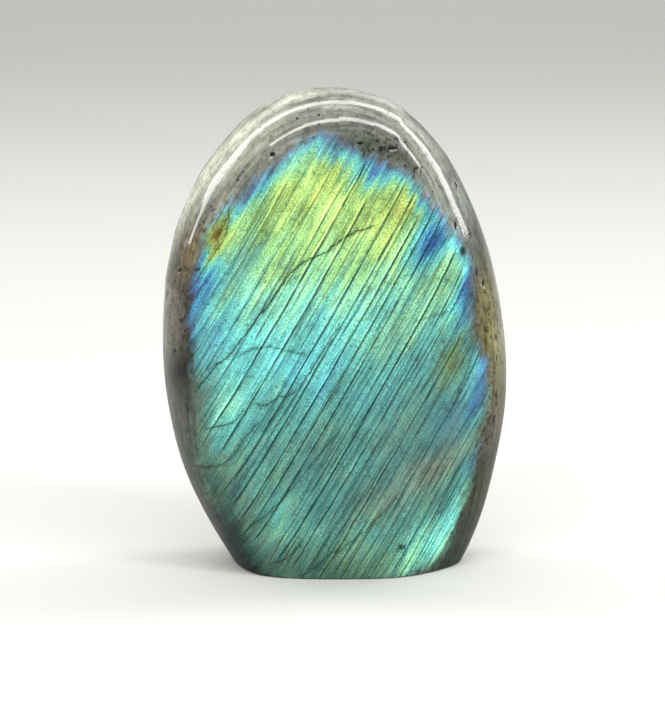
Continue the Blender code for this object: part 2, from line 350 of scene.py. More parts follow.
def length(name, text, default):
    """A length that a user may change, in metres."""
    return FloatProperty(name=name, description=text, default=default, subtype="DISTANCE", unit="LENGTH")


def share(name, text, default, most=1):
    """A share that a user may change, from none to the most."""
    return FloatProperty(name=name, description=text, default=default, min=0, max=most, subtype="FACTOR")


def strength(name, text, default, subtype="NONE"):
    """How strong a light is, which a user may change."""
    return FloatProperty(name=name, description=text, default=default, min=0, subtype=subtype)


class LabradoriteForm(bpy.types.PropertyGroup):
    """Sizes of the ground stone."""

    core_height: length("Core height", "Height of the point that the form is measured from", 60 * MM)
    front_depth: length("Front depth", "From the core to the flashing face", 20.5 * MM)
    back_depth: length("Back depth", "From the core to the back", 21.5 * MM)
    arris: length("Base edge", "Width of the eased edge round the sawn base", 0.6 * MM)
    pit_depth: length("Pit depth", "How deep the natural pits go", 0.6 * MM)
    crown: share("Face crown", "How domed the two faces are: 0 is flat, 1 a full ellipse", 0.46)
    taper: share("Thickness taper", "How much thicker the foot is than the core", 0.13, most=0.5)
    crispness: FloatProperty(
        name="Crispness", description="Higher is crisper where two ground surfaces meet",
        default=11.0, min=2, max=40,
    )  # fmt: skip


class LabradoriteFinish(bpy.types.PropertyGroup):
    """Colours and polish of the stone."""

    deep_blue: colour("Deep blue", "#2A4CA8", "First colour of the flash, where it is thinnest")
    blue: colour("Blue", "#4C7CCB", "Second colour of the flash")
    sky: colour("Sky blue", "#58A8DA", "Third colour of the flash")
    cyan: colour("Cyan", "#70D2DE", "Fourth colour of the flash")
    turquoise: colour("Turquoise", "#7ADCD0", "Fifth colour of the flash")
    mint: colour("Mint", "#97DFAE", "Sixth colour of the flash")
    green: colour("Green", "#A6DA88", "Seventh colour of the flash")
    lime: colour("Yellow-green", "#C6E67E", "Eighth colour of the flash")
    gold: colour("Gold", "#D2D276", "Ninth colour of the flash")
    amber: colour("Amber", "#A88A36", "Last colour of the flash")
    line: colour("Twin lines", "#0E2A26", "Colour of the dark lines across the flash")
    crack: colour("Cracks", "#1C2A20", "Colour of the healed cracks")
    # In the pits this colour is painted shade; in the mineral spots and the specks it is their own dark
    # colour.
    pit: colour("Pits", "#0D0C09", "Colour in the pits and spots")
    sawn: colour("Sawn base", "#7C8580", "Colour of the unpolished base")
    back: colour("Back", "#3E4B49", "Colour of the back, where it hardly flashes")
    metal: share("Sheen of the flash", "How metallic the flash is", 0.3)


class LabradoriteStudio(bpy.types.PropertyGroup):
    """Floor, lights and camera."""

    floor: colour("Floor", "#B5B5B2", "Colour of the pale floor")
    floor_size: length("Floor size", "Width of the floor", 9.0)
    ambient: strength("Ambient", "Strength of the even light", 0.22)
    backdrop: strength("Backdrop", "Brightness beyond the floor", 0.60)
    arches: strength("Lamp arches", "Radiance of the two arches of lamps", 8.0)
    overhead: strength("Overhead", "Power of the overhead lamp", 85.0, "POWER")
    behind: strength("Behind", "Power of the lamp over the far floor", 75.0, "POWER")
    fill: strength("Fill", "Power of the lamp behind the camera", 4.0, "POWER")
    elevation: FloatProperty(
        name="Camera elevation", description="How far the camera looks down",
        default=math.radians(11.0), subtype="ANGLE", unit="ROTATION",
    )  # fmt: skip
    distance: length("Camera distance", "From the camera to the stone", 0.75)


def smooth(low, high, value):
    """0 at low, 1 at high, and an S-curve between: 3t squared less 2t cubed."""
    t = np.clip((value - low) / (high - low), 0, 1)
    return t * t * (3 - 2 * t)


def around_the_rim(values, angle):
    """Smooth closed curve (a cubic B-spline) through evenly spaced values, read at the angles in radians."""
    values = np.asarray(values, float)
    values = values - (np.roll(values, 1) - 2 * values + np.roll(values, -1)) / 6
    place = angle / math.tau * len(values) % len(values)
    start = np.floor(place).astype(int)
    t = place - start
    before, here, after, beyond = (values[(start + step) % len(values)] for step in (-1, 0, 1, 2))
    return (
        (1 - t) ** 3 * before
        + (3 * t**3 - 6 * t**2 + 4) * here
        + (-3 * t**3 + 3 * t**2 + 3 * t + 1) * after
        + t**3 * beyond
    ) / 6


def bevel_plane(insets, angle, outline):
    """A bevel as out * reach + deep * slope = 1: it joins the side's land to the face at the inset."""
    inner = 1 - around_the_rim(insets, angle) / outline
    land = around_the_rim(SIDE_LANDS, angle)
    slope = (1 - inner) / (1 - inner * land)
    return 1 - slope * land, slope


def skin(form, direction):
    """Points of the ground skin along directions from the core, in millimetres from it.

    Each ground surface is 1 on itself and grows evenly with distance: the rim's outline, the domed faces, the
    two bevels and the flats on the back. The skin is where the power sum of them all is 1.
    """
    x, y, z = np.moveaxis(direction, -1, 0)
    front_depth = form.front_depth / MM
    back_depth = form.back_depth / MM
    angle = np.arctan2(z, x)
    outline = around_the_rim(OUTLINE_RADII, angle)
    for stop, rise in WHEEL_STOPS:
        away = np.abs((np.degrees(angle) - stop + 180.0) % 360.0 - 180.0)
        outline = outline + rise * np.exp(-away / WHEEL_STOP_SPREAD)
    front_reach, front_slope = bevel_plane(FRONT_BEVEL_INSETS, angle, outline)
    back_reach, back_slope = bevel_plane(BACK_BEVEL_INSETS, angle, outline)
    power = form.crispness
    edge_sum = 1 + front_reach**power + back_reach**power + form.crown**power
    out = np.hypot(x, z) / (outline * edge_sum ** (1 / power))
    deep = np.where(y < 0, -y / front_depth, y / back_depth)
    surfaces = [
        out,
        np.hypot(deep, form.crown * out),
        front_reach * out - front_slope * y / front_depth,
        back_reach * out + back_slope * y / back_depth,
    ]
    for rim_angle, tilt, distance in BACK_FLATS:
        rim_angle, tilt = math.radians(rim_angle), math.radians(tilt)
        facing = (math.cos(rim_angle) * math.cos(tilt), math.sin(tilt), math.sin(rim_angle) * math.cos(tilt))
        surfaces.append(direction @ np.array(facing) / distance)
    total = sum(np.maximum(surface, 0) ** power for surface in surfaces)
    points = direction / total[..., None] ** (1 / power)
    points[..., 1] *= 1 - form.taper * points[..., 2] / (form.core_height / MM)
    return points


def direction_at(turn, rise):
    """Direction from the core to the point at a turn and a rise on the stretched ball."""
    turn, rise = np.broadcast_arrays(turn, rise)
    width, depth, height = STEP_BALL
    across = width * np.cos(rise) * np.cos(turn)
    deep = depth * np.cos(rise) * np.sin(turn)
    way = np.stack([across, deep, height * np.sin(rise)], axis=-1)
    return way / np.linalg.norm(way, axis=-1, keepdims=True)


def rise_at_height(form, turn, height):
    """The rise at which each turn's skin stands at a height over the base, by halving the range."""
    core = form.core_height / MM
    low = np.full_like(turn, -math.pi / 2)
    high = np.zeros_like(turn)
    for _ in range(HALVINGS):
        middle = (low + high) / 2
        under = skin(form, direction_at(turn, middle))[..., 2] + core < height
        low = np.where(under, middle, low)
        high = np.where(under, high, middle)
    return (low + high) / 2


def stone_grid(form):
    """Points of the whole stone in rows from the middle of the base, out and over its edge and up to the top.

    A row's place is v and the turn is u. On the skin the rise runs evenly from the base edge to the top. The
    eased edge is a quadratic curve from skin to base, and the base runs in evenly from there to its middle.
    """
    core = np.array([0, 0, form.core_height / MM])
    arris = form.arris / MM
    turn = np.arange(TURN_STEPS) / TURN_STEPS * math.tau
    lowest = rise_at_height(form, turn, arris)
    steps = np.arange(SKIN_ROWS)[:, None] / SKIN_ROWS
    body = skin(form, direction_at(turn[None, :], lowest + (math.pi / 2 - lowest) * steps)) + core
    corner = skin(form, direction_at(turn, rise_at_height(form, turn, 0.0))) + core
    corner[:, 2] = 0
    middle = corner.mean(axis=0)
    away = corner - middle
    inner = corner - away * arris / np.linalg.norm(away, axis=1, keepdims=True)
    t = (np.arange(EDGE_ROWS) / EDGE_ROWS)[:, None, None]
    edge = (1 - t) ** 2 * inner + 2 * t * (1 - t) * corner + t**2 * body[0]
    share = ((np.arange(BASE_ROWS) + 1) / (BASE_ROWS + 1))[:, None, None]
    base = middle + (inner - middle) * share
    top = skin(form, np.array([[0.0, 0.0, 1.0]]))[0] + core
    return np.concatenate([base, edge, body]), middle, top


def grid_faces(rows):
    """Quads between neighbouring rows, closed round the stone, and a fan at each end.

    Vertex 0 is the base's middle, and the last one is the top.
    """
    column = np.arange(TURN_STEPS)
    beside = (column + 1) % TURN_STEPS
    row = 1 + np.arange(rows - 1)[:, None] * TURN_STEPS
    above = row + TURN_STEPS
    quads = np.stack([row + column, row + beside, above + beside, above + column], axis=-1)
    last = 1 + (rows - 1) * TURN_STEPS
    under = np.stack([np.zeros_like(column), 1 + beside, 1 + column], axis=-1)
    over = np.stack([np.full_like(column, 1 + rows * TURN_STEPS), last + column, last + beside], axis=-1)
    return quads.reshape(-1, 4).tolist() + under.tolist() + over.tolist()


def grid_normals(grid):
    """Outward normals of the grid's points, from the differences to their neighbours round and up."""
    beside = np.roll(grid, -1, axis=1) - np.roll(grid, 1, axis=1)
    normal = np.cross(beside, np.gradient(grid, axis=0))
    return normal / np.maximum(np.linalg.norm(normal, axis=-1, keepdims=True), 1e-9)


def rim_place(x, z, core):
    """Each point's angle round the rim in radians, and how far inside the outline it lies from the front."""
    angle = np.arctan2(z - core, x)
    return angle, around_the_rim(OUTLINE_RADII, angle) - np.hypot(x, z - core)


def wheel_marks(x, y, z, core):
    """How far the grinding wheel left the skin high or low, in millimetres.

    Where one pass of the wheel ended, the bevel beyond tilts: the height there is a share of the distance in
    from the bevel's middle. It starts sharply at the pass's end and fades further on. On both shoulders the
    wheel left soft facets along the rim: the height is a sine of the distance in from the outline.
    """
    angle, inset = rim_place(x, z, core)
    degrees = np.degrees(angle)
    beyond = PASS_END - degrees
    bevel = smooth(13, 8, inset) * smooth(3, -3, y)
    tilt = PASS_TILT * (inset - BEVEL_MIDDLE) * smooth(0, 1.5, beyond) * smooth(38, 4, beyond) * bevel
    facets = np.sin(math.tau * inset / FACET_WIDTH + 0.9 * np.sin(3 * angle)) * smooth(0, 2, inset) * bevel
    left = smooth(102, 120, degrees) * smooth(178, 158, degrees)
    right = 0.6 * smooth(70, 62, degrees) * smooth(8, 24, degrees)
    return tilt + FACET_HEIGHT * facets * (left + right)


def spot_distance(points, normals, across, up, width, height, lean):
    """How far each point is from a spot, measured in the skin: 1 on the spot's edge, 0 at its middle.

    The spot lies at the grid's point nearest to its place, seen from the front, and it reaches 3 mm deep.
    """
    away = np.hypot(points[..., 0] - across, points[..., 2] - up) + np.where(points[..., 1] < 0, 0, FAR)
    centre = np.unravel_index(np.argmin(away), away.shape)
    normal = normals[centre]
    side = np.cross((0, 0, 1), normal)
    side /= -np.linalg.norm(side)
    rise = np.cross(side, normal)
    rise *= np.sign(rise[2])
    lean = math.radians(lean)
    offset = points - points[centre]
    a = offset @ (side * math.cos(lean) + rise * math.sin(lean))
    b = offset @ (rise * math.cos(lean) - side * math.sin(lean))
    return np.sqrt((2 * a / width) ** 2 + (2 * b / height) ** 2 + (offset @ normal / 3) ** 2)


def piece_distance(x, z, start, end):
    """Distance from a straight piece of a line, and a cross product whose sign tells the side."""
    (ax, az), (bx, bz) = start, end
    dx, dz = bx - ax, bz - az
    t = np.clip(((x - ax) * dx + (z - az) * dz) / (dx * dx + dz * dz), 0, 1)
    return np.hypot(x - ax - t * dx, z - az - t * dz), dx * (z - az) - dz * (x - ax)


def side_and_distance(x, z, path):
    """Distance from a broken line, with its sign from which side of the nearest piece the point lies."""
    best = np.full(x.shape, FAR)
    for start, end in zip(path[:-1], path[1:]):
        distance, cross = piece_distance(x, z, start, end)
        side = np.where(cross < 0, -1.0, 1.0)
        best = np.where(distance < np.abs(best), side * distance, best)
    return best


def inside_distance(x, z, outline):
    """Distance from a closed outline, positive inside it.

    A point is inside when its level, to its right, crosses the outline an odd number of times.
    """
    inside = np.zeros(x.shape, bool)
    best = np.full(x.shape, FAR)
    for start, end in zip(outline, outline[1:] + outline[:1]):
        best = np.minimum(best, piece_distance(x, z, start, end)[0])
        (ax, az), (bx, bz) = start, end
        if az != bz:
            inside ^= ((az > z) != (bz > z)) & (x < ax + (z - az) * (bx - ax) / (bz - az))
    return np.where(inside, best, -best)


def zone_cover(x, z, zone):
    """A soft oval patch, 1 at its middle: e to the power of minus its stretched distance squared."""
    across, up, along, wide, lean = zone[:5]
    lean = math.radians(lean)
    a = (x - across) * math.cos(lean) + (z - up) * math.sin(lean)
    b = (x - across) * math.sin(lean) - (z - up) * math.cos(lean)
    return np.exp(-((a / along) ** 2) - (b / wide) ** 2)


def twin_coordinates(x, y, z):
    """Place across and along the twin lines, which move across with depth because their planes lean back."""
    lean = math.radians(TWIN_LEAN)
    across = x * math.sin(lean) - z * math.cos(lean) + TWIN_DRIFT * (y - FACE_PLACE)
    along = x * math.cos(lean) + z * math.sin(lean)
    return across, along


def flash_fields(x, z, across, along, front):
    """Distance inside the flash's edge, place on its run of colours, brightness, and how much of it is left.

    Each layer of crystal has slipped along the lines, so all are read at the slipped place. Near its edge the
    flash runs back towards blue, by e to the power of minus the distance. The zones lie over that.
    """
    slip = sum(height * np.sin(pace * across + start) for height, pace, start in SLIPS)
    lean = math.radians(TWIN_LEAN)
    x_slip, z_slip = x + slip * math.cos(lean), z + slip * math.sin(lean)
    edge = inside_distance(x + EDGE_SLIP * (x_slip - x), z + EDGE_SLIP * (z_slip - z), FLASH_EDGE)
    heights, orders, glows, shares = zip(*FLASH_BY_HEIGHT)
    order = np.interp(z_slip, heights, orders)
    glow = np.interp(z_slip, heights, glows)
    fringe = np.exp(-np.maximum(edge, 0) / FRINGE_REACH) * smooth(44, 60, z)
    order -= fringe * 0.9 * np.maximum(order - 0.10, 0)
    left = np.interp(z_slip, heights, shares)
    for zone in FLASH_ZONES:
        cover = zone[8] * zone_cover(x_slip, z_slip, zone)
        order += (zone[5] - order) * cover
        glow += (zone[6] - glow) * cover
        left += (zone[7] - left) * cover
    return np.where(front > 0, edge, -5.0) - 5 * (1 - front), order, glow, left


def twin_fields(across, along, front):
    """Running number of the twin line, the gap to the next one, and how dark the nearest one is."""
    places, starts, ends, darks = (np.array(column, float) for column in zip(*TWIN_LINES))
    beyond = FURTHER_GAP * np.arange(1, FURTHER_LINES + 1)
    places = np.concatenate([places[0] - beyond[::-1], places, places[-1] + beyond])
    number = np.interp(across, places, np.arange(len(places)))
    lower = np.clip(np.floor(number).astype(int), 0, len(places) - 2)
    gap = np.diff(places)[lower]
    nearest = np.rint(number).astype(int) - FURTHER_LINES
    listed = (nearest >= 0) & (nearest < len(starts))
    nearest = np.clip(nearest, 0, len(starts) - 1)
    window = smooth(starts[nearest] - 2, starts[nearest] + 2, along)
    window = window * smooth(ends[nearest] + 2, ends[nearest] - 2, along)
    dark = np.where(listed, window * darks[nearest], FURTHER_DARK)
    return number, gap, dark * front + RIM_LINE_DARK * (1 - front)


def crack_fields(x, z, front):
    """Distance from the nearest crack with its side's sign, and how dark that crack is here."""
    nearest = np.full(x.shape, FAR)
    dark = np.zeros_like(x)
    for darkness, path in CRACKS:
        distance = side_and_distance(x, z, path)
        closer = np.abs(distance) < np.abs(nearest)
        nearest = np.where(closer, distance, nearest)
        dark = np.where(closer, darkness, dark)
    return nearest, dark * smooth(2.4, 1.2, np.abs(nearest)) * front


def speck_field(x, y, z):
    """How thickly dark specks are strewn, none to 1: soft oval patches, and a few everywhere on the rim."""
    amount = np.full_like(x, 0.15)
    for zone in SPECK_ZONES:
        amount += (zone[5] - amount) * zone_cover(x, z, zone) * smooth(8, 0, y)
    return amount


def tint_and_painted_light_field(x, y, z, core, back):
    """Colour of the stone where it doesn't flash.

    It changes round the rim, with painted highlight streaks in it, is plain inside it, and is painted paler at
    the upper left, as light coming through, by e to the power of minus the distance in. Patches of other
    colour, one of them painted shade, lie over that and drift down the side with depth. The back is darker.
    """
    angle, inset = rim_place(x, z, core)
    # The rim's colours hold painted highlight streaks at 60 and 120 degrees.
    tints = np.array([linear(code) for code in RIM_TINTS_AND_HIGHLIGHTS])
    tint_and_painted_light = np.stack([around_the_rim(channel, angle) for channel in tints.T], axis=-1)
    front = smooth(6, -6, y)
    inner = smooth(8, 16, inset)[..., None]
    tint_and_painted_light += (np.array(linear(INNER_TINT)) - tint_and_painted_light) * inner * front[..., None]
    # Painted light: a glow painted onto the edge at the upper left, where light comes through.
    pale = np.exp(-np.maximum(inset, 0) / PAINTED_GLOW_REACH)
    pale = pale * smooth(0.2, 0.9, np.cos(angle - PAINTED_GLOW_ANGLE)) * smooth(12, -4, y)
    tint_and_painted_light *= (1 + PAINTED_GLOW_GAIN * pale)[..., None]
    drift = np.maximum(y + 10, 0) * (0.35 + 0.25 * np.sin(0.31 * x + 0.23 * z))
    for zone in RIM_ZONES:
        cover = (zone[6] * front * zone_cover(x, z + drift, zone))[..., None]
        tint_and_painted_light += (np.array(linear(zone[5])) - tint_and_painted_light) * cover
    behind = smooth(2, 15, y)[..., None]
    tint_and_painted_light += (np.array(back) - tint_and_painted_light) * behind * 0.8
    tint_and_painted_light = np.maximum(tint_and_painted_light, 0.01)
    return tint_and_painted_light * np.minimum(1, PALEST_TINT / tint_and_painted_light.max(axis=-1, keepdims=True))


def write_field(mesh, name, *values):
    """Three numbers for each vertex, as an attribute that the materials read."""
    data = np.stack(values, axis=-1).astype(np.float32)
    mesh.attributes.new(name, "FLOAT_VECTOR", "POINT").data.foreach_set("vector", data.ravel())


def add_node(tree, kind, inputs=(), stops=(), **settings):
    """Adds a node, sets its settings, links or sets its inputs, and fills its colour stops if it has any.

    The inputs come in the node's own order, or keyed by name or number where only some are given. The result
    is the node's outputs.
    """
    node = tree.nodes.new("ShaderNode" + kind)
    for name, value in settings.items():
        setattr(node, name, value)
    for key, value in inputs.items() if isinstance(inputs, dict) else enumerate(inputs):
        if isinstance(value, bpy.types.NodeSocket):
            tree.links.new(value, node.inputs[key])
        else:
            node.inputs[key].default_value = value
    for index, (place, shade) in enumerate(stops):
        ramp = node.color_ramp.elements
        stop = ramp[index] if index < 2 else ramp.new(place)
        stop.position = place
        stop.color = (*shade, 1)
    return node.outputs


def new_material(name):
    """An empty material, and add_node for its own tree."""
    material = bpy.data.materials.new(name)
    material.use_nodes = True
    material.node_tree.nodes.clear()
    return material, functools.partial(add_node, material.node_tree)


def polished_labradorite(finish):
    """Polished labradorite, whose flash comes from layers inside the feldspar that are too thin to see.

    The eye gets soft satin colour that runs in streaks along the twin planes, dark lines where those planes
    meet the surface, a fine grain all over, and one sharp gloss on top, from the glassy polish.
    """
    material, add = new_material("polished labradorite")
    soft = {"interpolation_type": "SMOOTHSTEP"}
    fields = {}
    for name in ("flash", "twin", "crack", "marks", "tint_and_painted_light", "rim"):
        fields[name] = add("Attribute", attribute_name=name)["Vector"]
    edge, order, glow = add("SeparateXYZ", (fields["flash"],))
    number, gap, dark = add("SeparateXYZ", (fields["twin"],))
    crack_away, crack_dark, left = add("SeparateXYZ", (fields["crack"],))
    pit, spot, speck_amount = add("SeparateXYZ", (fields["marks"],))
    _, inset, _ = add("SeparateXYZ", (fields["rim"],))

    # The object's own coordinates, and the same turned so that X runs across the twin lines and Z along them.
    place = add("TexCoord")["Object"]
    lean = math.radians(TWIN_LEAN - 90)
    turned = add("VectorRotate", {"Vector": place, "Angle": lean}, rotation_type="Y_AXIS")[0]

    # Noises: what each follows, its cells in millimetres across, deep and along, its detail and roughness.
    # The real grain is finer than a tenth of a millimetre. It is drawn at 0.3 mm, which still shows.
    noise = {}
    for name, follows, cells, detail, roughness in (
        ("broad", turned, (1.4, 7, 24), 3, 0.5),
        ("patchy", turned, (6, 6, 9), 3, 0.5),
        ("fine", turned, (0.42, 3, 9), 2, 0.5),
        ("hair", turned, (0.20, 2, 4), 1, 0.5),
        ("grain", turned, (0.26, 0.26, 0.34), 2, 0.7),
        ("waver", turned, (3, 6, 9), 2, 0.5),
        ("fading", turned, (2, 5, 7), 2, 0.5),
        ("hair lines", turned, (0.5, 4, 22), 1, 0.5),
        ("cloud", place, (9, 9, 9), 4, 0.6),
        ("mottle", place, (1.6, 1.6, 1.9), 4, 0.65),
        ("wobble", place, (1.2, 1.2, 1.2), 2, 0.5),
        ("blotch", place, (1.3, 1.3, 1.8), 3, 0.65),
        ("wisp", fields["rim"], (11, 1.0, 11), 3, 0.55),
        ("ripple", fields["rim"], (0.7, 4, 0.7), 1, 0.5),
    ):
        size = tuple(1 / (cell * MM) for cell in cells)
        scaled = add("VectorMath", (follows, size), operation="MULTIPLY")[0]
        inputs = {"Vector": scaled, "Scale": 1.0, "Detail": detail, "Roughness": roughness}
        noise[name] = add("TexNoise", inputs)[0]

    # The flash's edge is ragged.
    for name, reach in (("broad", 0.8), ("mottle", 0.9)):
        rough = add("MapRange", (noise[name], 0.3, 0.7, -reach, reach))[0]
        edge = add("Math", (edge, rough), operation="ADD")[0]
    shown = add("MapRange", (edge, -1.6, 2.4, 0.0, 1.0), **soft)[0]
    shown = add("Math", (shown, left), operation="MULTIPLY")[0]

    # Its colour wanders a little along its run.
    for name, reach in (("broad", 0.05), ("fine", 0.03), ("cloud", 0.05)):
        shift = add("MapRange", (noise[name], 0.3, 0.7, -reach, reach))[0]
        order = add("Math", (order, shift), operation="ADD")[0]
    run = (
        (0.00, finish.deep_blue), (0.12, finish.blue), (0.24, finish.sky), (0.37, finish.cyan),
        (0.50, finish.turquoise), (0.62, finish.mint), (0.72, finish.green), (0.84, finish.lime),
        (0.92, finish.gold), (1.00, finish.amber),
    )  # fmt: skip
    flash_colour = add("ValToRGB", (order,), stops=run)[0]

    # Streaks and grain in its brightness.
    for name, low, high, dimmest, brightest in (
        ("broad", 0.3, 0.7, 0.85, 1.30),
        ("patchy", 0.3, 0.7, 0.72, 1.28),
        ("fine", 0.3, 0.7, 0.80, 1.22),
        ("hair", 0.3, 0.7, 0.86, 1.16),
        ("grain", 0.35, 0.65, 0.52, 1.50),
    ):
        streak = add("MapRange", (noise[name], low, high, dimmest, brightest))[0]
        glow = add("Math", (glow, streak), operation="MULTIPLY")[0]

    # The layers between the twin planes differ a little in brightness. The nearest twin line lies so many
    # millimetres aside, with a bright line half a millimetre to one side of it.
    waver = add("MapRange", (noise["waver"], 0.3, 0.7, -0.06, 0.06))[0]
    number = add("Math", (number, waver), operation="ADD")[0]
    layer = add("Math", (number,), operation="FLOOR")[0]
    luck = add("TexWhiteNoise", {"W": layer}, noise_dimensions="1D")[0]
    own_light = add("MapRange", (luck, 0.0, 1.0, 0.88, 1.12))[0]
    glow = add("Math", (glow, own_light), operation="MULTIPLY")[0]
    nearest = add("Math", (number,), operation="ROUND")[0]
    aside = add("Math", (number, nearest), operation="SUBTRACT")[0]
    aside = add("Math", (aside, gap), operation="MULTIPLY")[0]
    beside = add("Math", (aside, 0.46), operation="ADD")[0]
    beside = add("Math", (beside,), operation="ABSOLUTE")[0]
    bright = add("MapRange", (beside, 0.0, 0.24, 0.55, 0.0), **soft)[0]
    bright = add("Math", (bright, dark, 1.0), operation="MULTIPLY_ADD")[0]
    glow = add("Math", (glow, bright), operation="MULTIPLY")[0]
    flash_colour = add("VectorMath", {0: flash_colour, "Scale": glow}, operation="SCALE")[0]

    # The stone round the flash: cloudy, mottled and grainy, with wisps along the rim and streaks inside it.
    inward = add("MapRange", (inset, 8 * MM, 15 * MM, 0.0, 1.0), **soft)[0]
    noise["wisp"] = add("Mix", {0: inward, 2: noise["wisp"], 3: noise["broad"]})[0]
    light = 1.0
    for name, dimmest, brightest in (
        ("cloud", 0.72, 1.25),
        ("mottle", 0.54, 1.42),
        ("grain", 0.82, 1.14),
        ("wisp", 0.58, 1.50),
    ):
        cloudy = add("MapRange", (noise[name], 0.3, 0.7, dimmest, brightest))[0]
        light = add("Math", (light, cloudy), operation="MULTIPLY")[0]
    body = add("VectorMath", {0: fields["tint_and_painted_light"], "Scale": light}, operation="SCALE")[0]
    surface = add("Mix", {0: shown, 6: body, 7: flash_colour}, data_type="RGBA")[2]

    # Twin lines, nearly half a millimetre wide, and hair lines between them, all faint outside the flash.
    off_line = add("Math", (aside,), operation="ABSOLUTE")[0]
    line = add("MapRange", (off_line, 0.06, 0.40, 1.3, 0.0), **soft)[0]
    fading = add("MapRange", (noise["fading"], 0.35, 0.6, 0.6, 1.0), **soft)[0]
    hair_line = add("MapRange", (noise["hair lines"], 0.57, 0.70, 0.0, 0.6), **soft)[0]
    inside = add("MapRange", (shown, 0.0, 0.5, 0.15, 1.0), **soft)[0]
    for operation, value in (
        ("MULTIPLY", dark),
        ("MULTIPLY", fading),
        ("MAXIMUM", hair_line),
        ("MULTIPLY", inside),
        ("MINIMUM", 0.88),
    ):
        line = add("Math", (line, value), operation=operation)[0]

    # Healed cracks, with a soft shadow beside them.
    wobble = add("MapRange", (noise["wobble"], 0.3, 0.7, -0.22, 0.22))[0]
    off_crack = add("Math", (crack_away, wobble), operation="ADD")[0]
    off_crack = add("Math", (off_crack,), operation="ABSOLUTE")[0]
    thin = add("MapRange", (off_crack, 0.08, 0.34, 1.15, 0.0), **soft)[0]
    shadow = add("MapRange", (off_crack, 0.1, 1.2, 0.38, 0.0), **soft)[0]
    crack = add("Math", (thin, shadow), operation="MAXIMUM")[0]
    crack = add("Math", (crack, crack_dark), operation="MULTIPLY")[0]

    # Pits, painted near black as shade in the hollows, dark mineral spots, specks, and blotches where the
    # specks are thick. Each 1.3 mm cell has one speck at most, and the specks differ in size.
    pit_shade = add("MapRange", (pit, 0.7, 1.15, 0.95, 0.0), **soft)[0]
    rough = add("MapRange", (noise["mottle"], 0.3, 0.7, -0.45, 0.45))[0]
    rough_spot = add("Math", (spot, rough), operation="ADD")[0]
    in_spot = add("MapRange", (rough_spot, 0.0, 0.9, 0.0, 0.9), **soft)[0]
    cells = add("VectorMath", (place, (1 / (1.3 * MM),) * 3), operation="MULTIPLY")[0]
    off_speck, luck, *_ = add("TexVoronoi", {"Vector": cells, "Scale": 1.0})
    luck, _, _ = add("SeparateXYZ", (luck,))
    missing = add("MapRange", (speck_amount, 0.0, 1.0, 1.4, 0.22))[0]
    off_speck = add("Math", (luck, missing, off_speck), operation="MULTIPLY_ADD")[0]
    speck = add("MapRange", (off_speck, 0.16, 0.38, 0.9, 0.0), **soft)[0]
    blotch = add("MapRange", (noise["blotch"], 0.36, 0.47, 1.0, 0.0), **soft)[0]
    thick = add("MapRange", (speck_amount, 0.2, 0.9, 0.0, 0.9))[0]
    blotch = add("Math", (blotch, thick), operation="MULTIPLY")[0]
    speck = add("Math", (speck, blotch), operation="MAXIMUM")[0]
    outside = add("MapRange", (shown, 0.0, 0.8, 1.0, 0.1), **soft)[0]
    speck = add("Math", (speck, outside), operation="MULTIPLY")[0]
    marks = add("Math", (pit_shade, in_spot), operation="MAXIMUM")[0]
    marks = add("Math", (marks, speck), operation="MAXIMUM")[0]
    for amount, over in ((line, finish.line), (crack, finish.crack), (marks, finish.pit)):
        surface = add("Mix", {0: amount, 6: surface, 7: (*over, 1)}, data_type="RGBA")[2]

    sheen = add("Math", (shown, finish.metal), operation="MULTIPLY")[0]
    # The gloss weakens towards the foot, so that the pale floor doesn't wash out its dark sides.
    _, _, height = add("SeparateXYZ", (place,))
    gloss = add("MapRange", (height, 34 * MM, 90 * MM, 0.12, 1.0), **soft)[0]
    relief = add("Math", (line, -1.0), operation="MULTIPLY")[0]
    relief = add("Math", (noise["fine"], 0.6, relief), operation="MULTIPLY_ADD")[0]
    # Ripples that the wheel left across the rim break up its highlights. They are under 0.01 mm high.
    outward = add("MapRange", (inset, 10 * MM, 14 * MM, 5.0, 0.0), **soft)[0]
    relief = add("Math", (noise["ripple"], outward, relief), operation="MULTIPLY_ADD")[0]
    bump = add("Bump", {"Height": relief, "Strength": 0.12, "Distance": 0.02 * MM})[0]
    # Labradorite's IOR is about 1.56. The coat that stands for its polish mirrors a little less.
    inputs = {
        "Base Color": surface, "Metallic": sheen, "Normal": bump, "Roughness": 0.42, "IOR": 1.56,
        "Specular IOR Level": 0.05, "Coat Weight": gloss, "Coat Roughness": 0.05, "Coat IOR": 1.43,
        "Coat Normal": bump,
    }  # fmt: skip
    shader = add("BsdfPrincipled", inputs)[0]
    add("OutputMaterial", (shader,))
    return material


def sawn_labradorite(finish):
    """Sawn labradorite, ground flat and left dull: grey-green with a fine grain, saw marks and no gloss."""
    material, add = new_material("sawn labradorite")
    place = add("TexCoord")["Object"]
    grain = add("TexNoise", {"Vector": place, "Scale": 1 / (0.5 * MM), "Detail": 3.0})[0]
    # Saw marks lie about 0.6 mm apart.
    size = (1 / (40 * MM), 1 / (0.6 * MM), 1.0)
    stretched = add("VectorMath", (place, size), operation="MULTIPLY")[0]
    marks = add("TexNoise", {"Vector": stretched, "Scale": 1.0, "Detail": 2.0})[0]
    both = add("Math", (grain, marks), operation="ADD")[0]
    light = add("MapRange", (both, 0.7, 1.3, 0.7, 1.2))[0]
    shade = add("VectorMath", {0: finish.sawn, "Scale": light}, operation="SCALE")[0]
    bump = add("Bump", {"Height": both, "Strength": 0.4, "Distance": 0.03 * MM})[0]
    shader = add("BsdfPrincipled", {"Base Color": shade, "Normal": bump, "Roughness": 0.62})[0]
    add("OutputMaterial", (shader,))
    return material


def matt_board(studio):
    """Matt white board: an even pale surface with hardly any shine."""
    material, add = new_material("matt white board")
    inputs = {"Base Color": (*studio.floor, 1), "Roughness": 0.9, "Specular IOR Level": 0.1}
    shader = add("BsdfPrincipled", inputs)[0]
    add("OutputMaterial", (shader,))
    return material


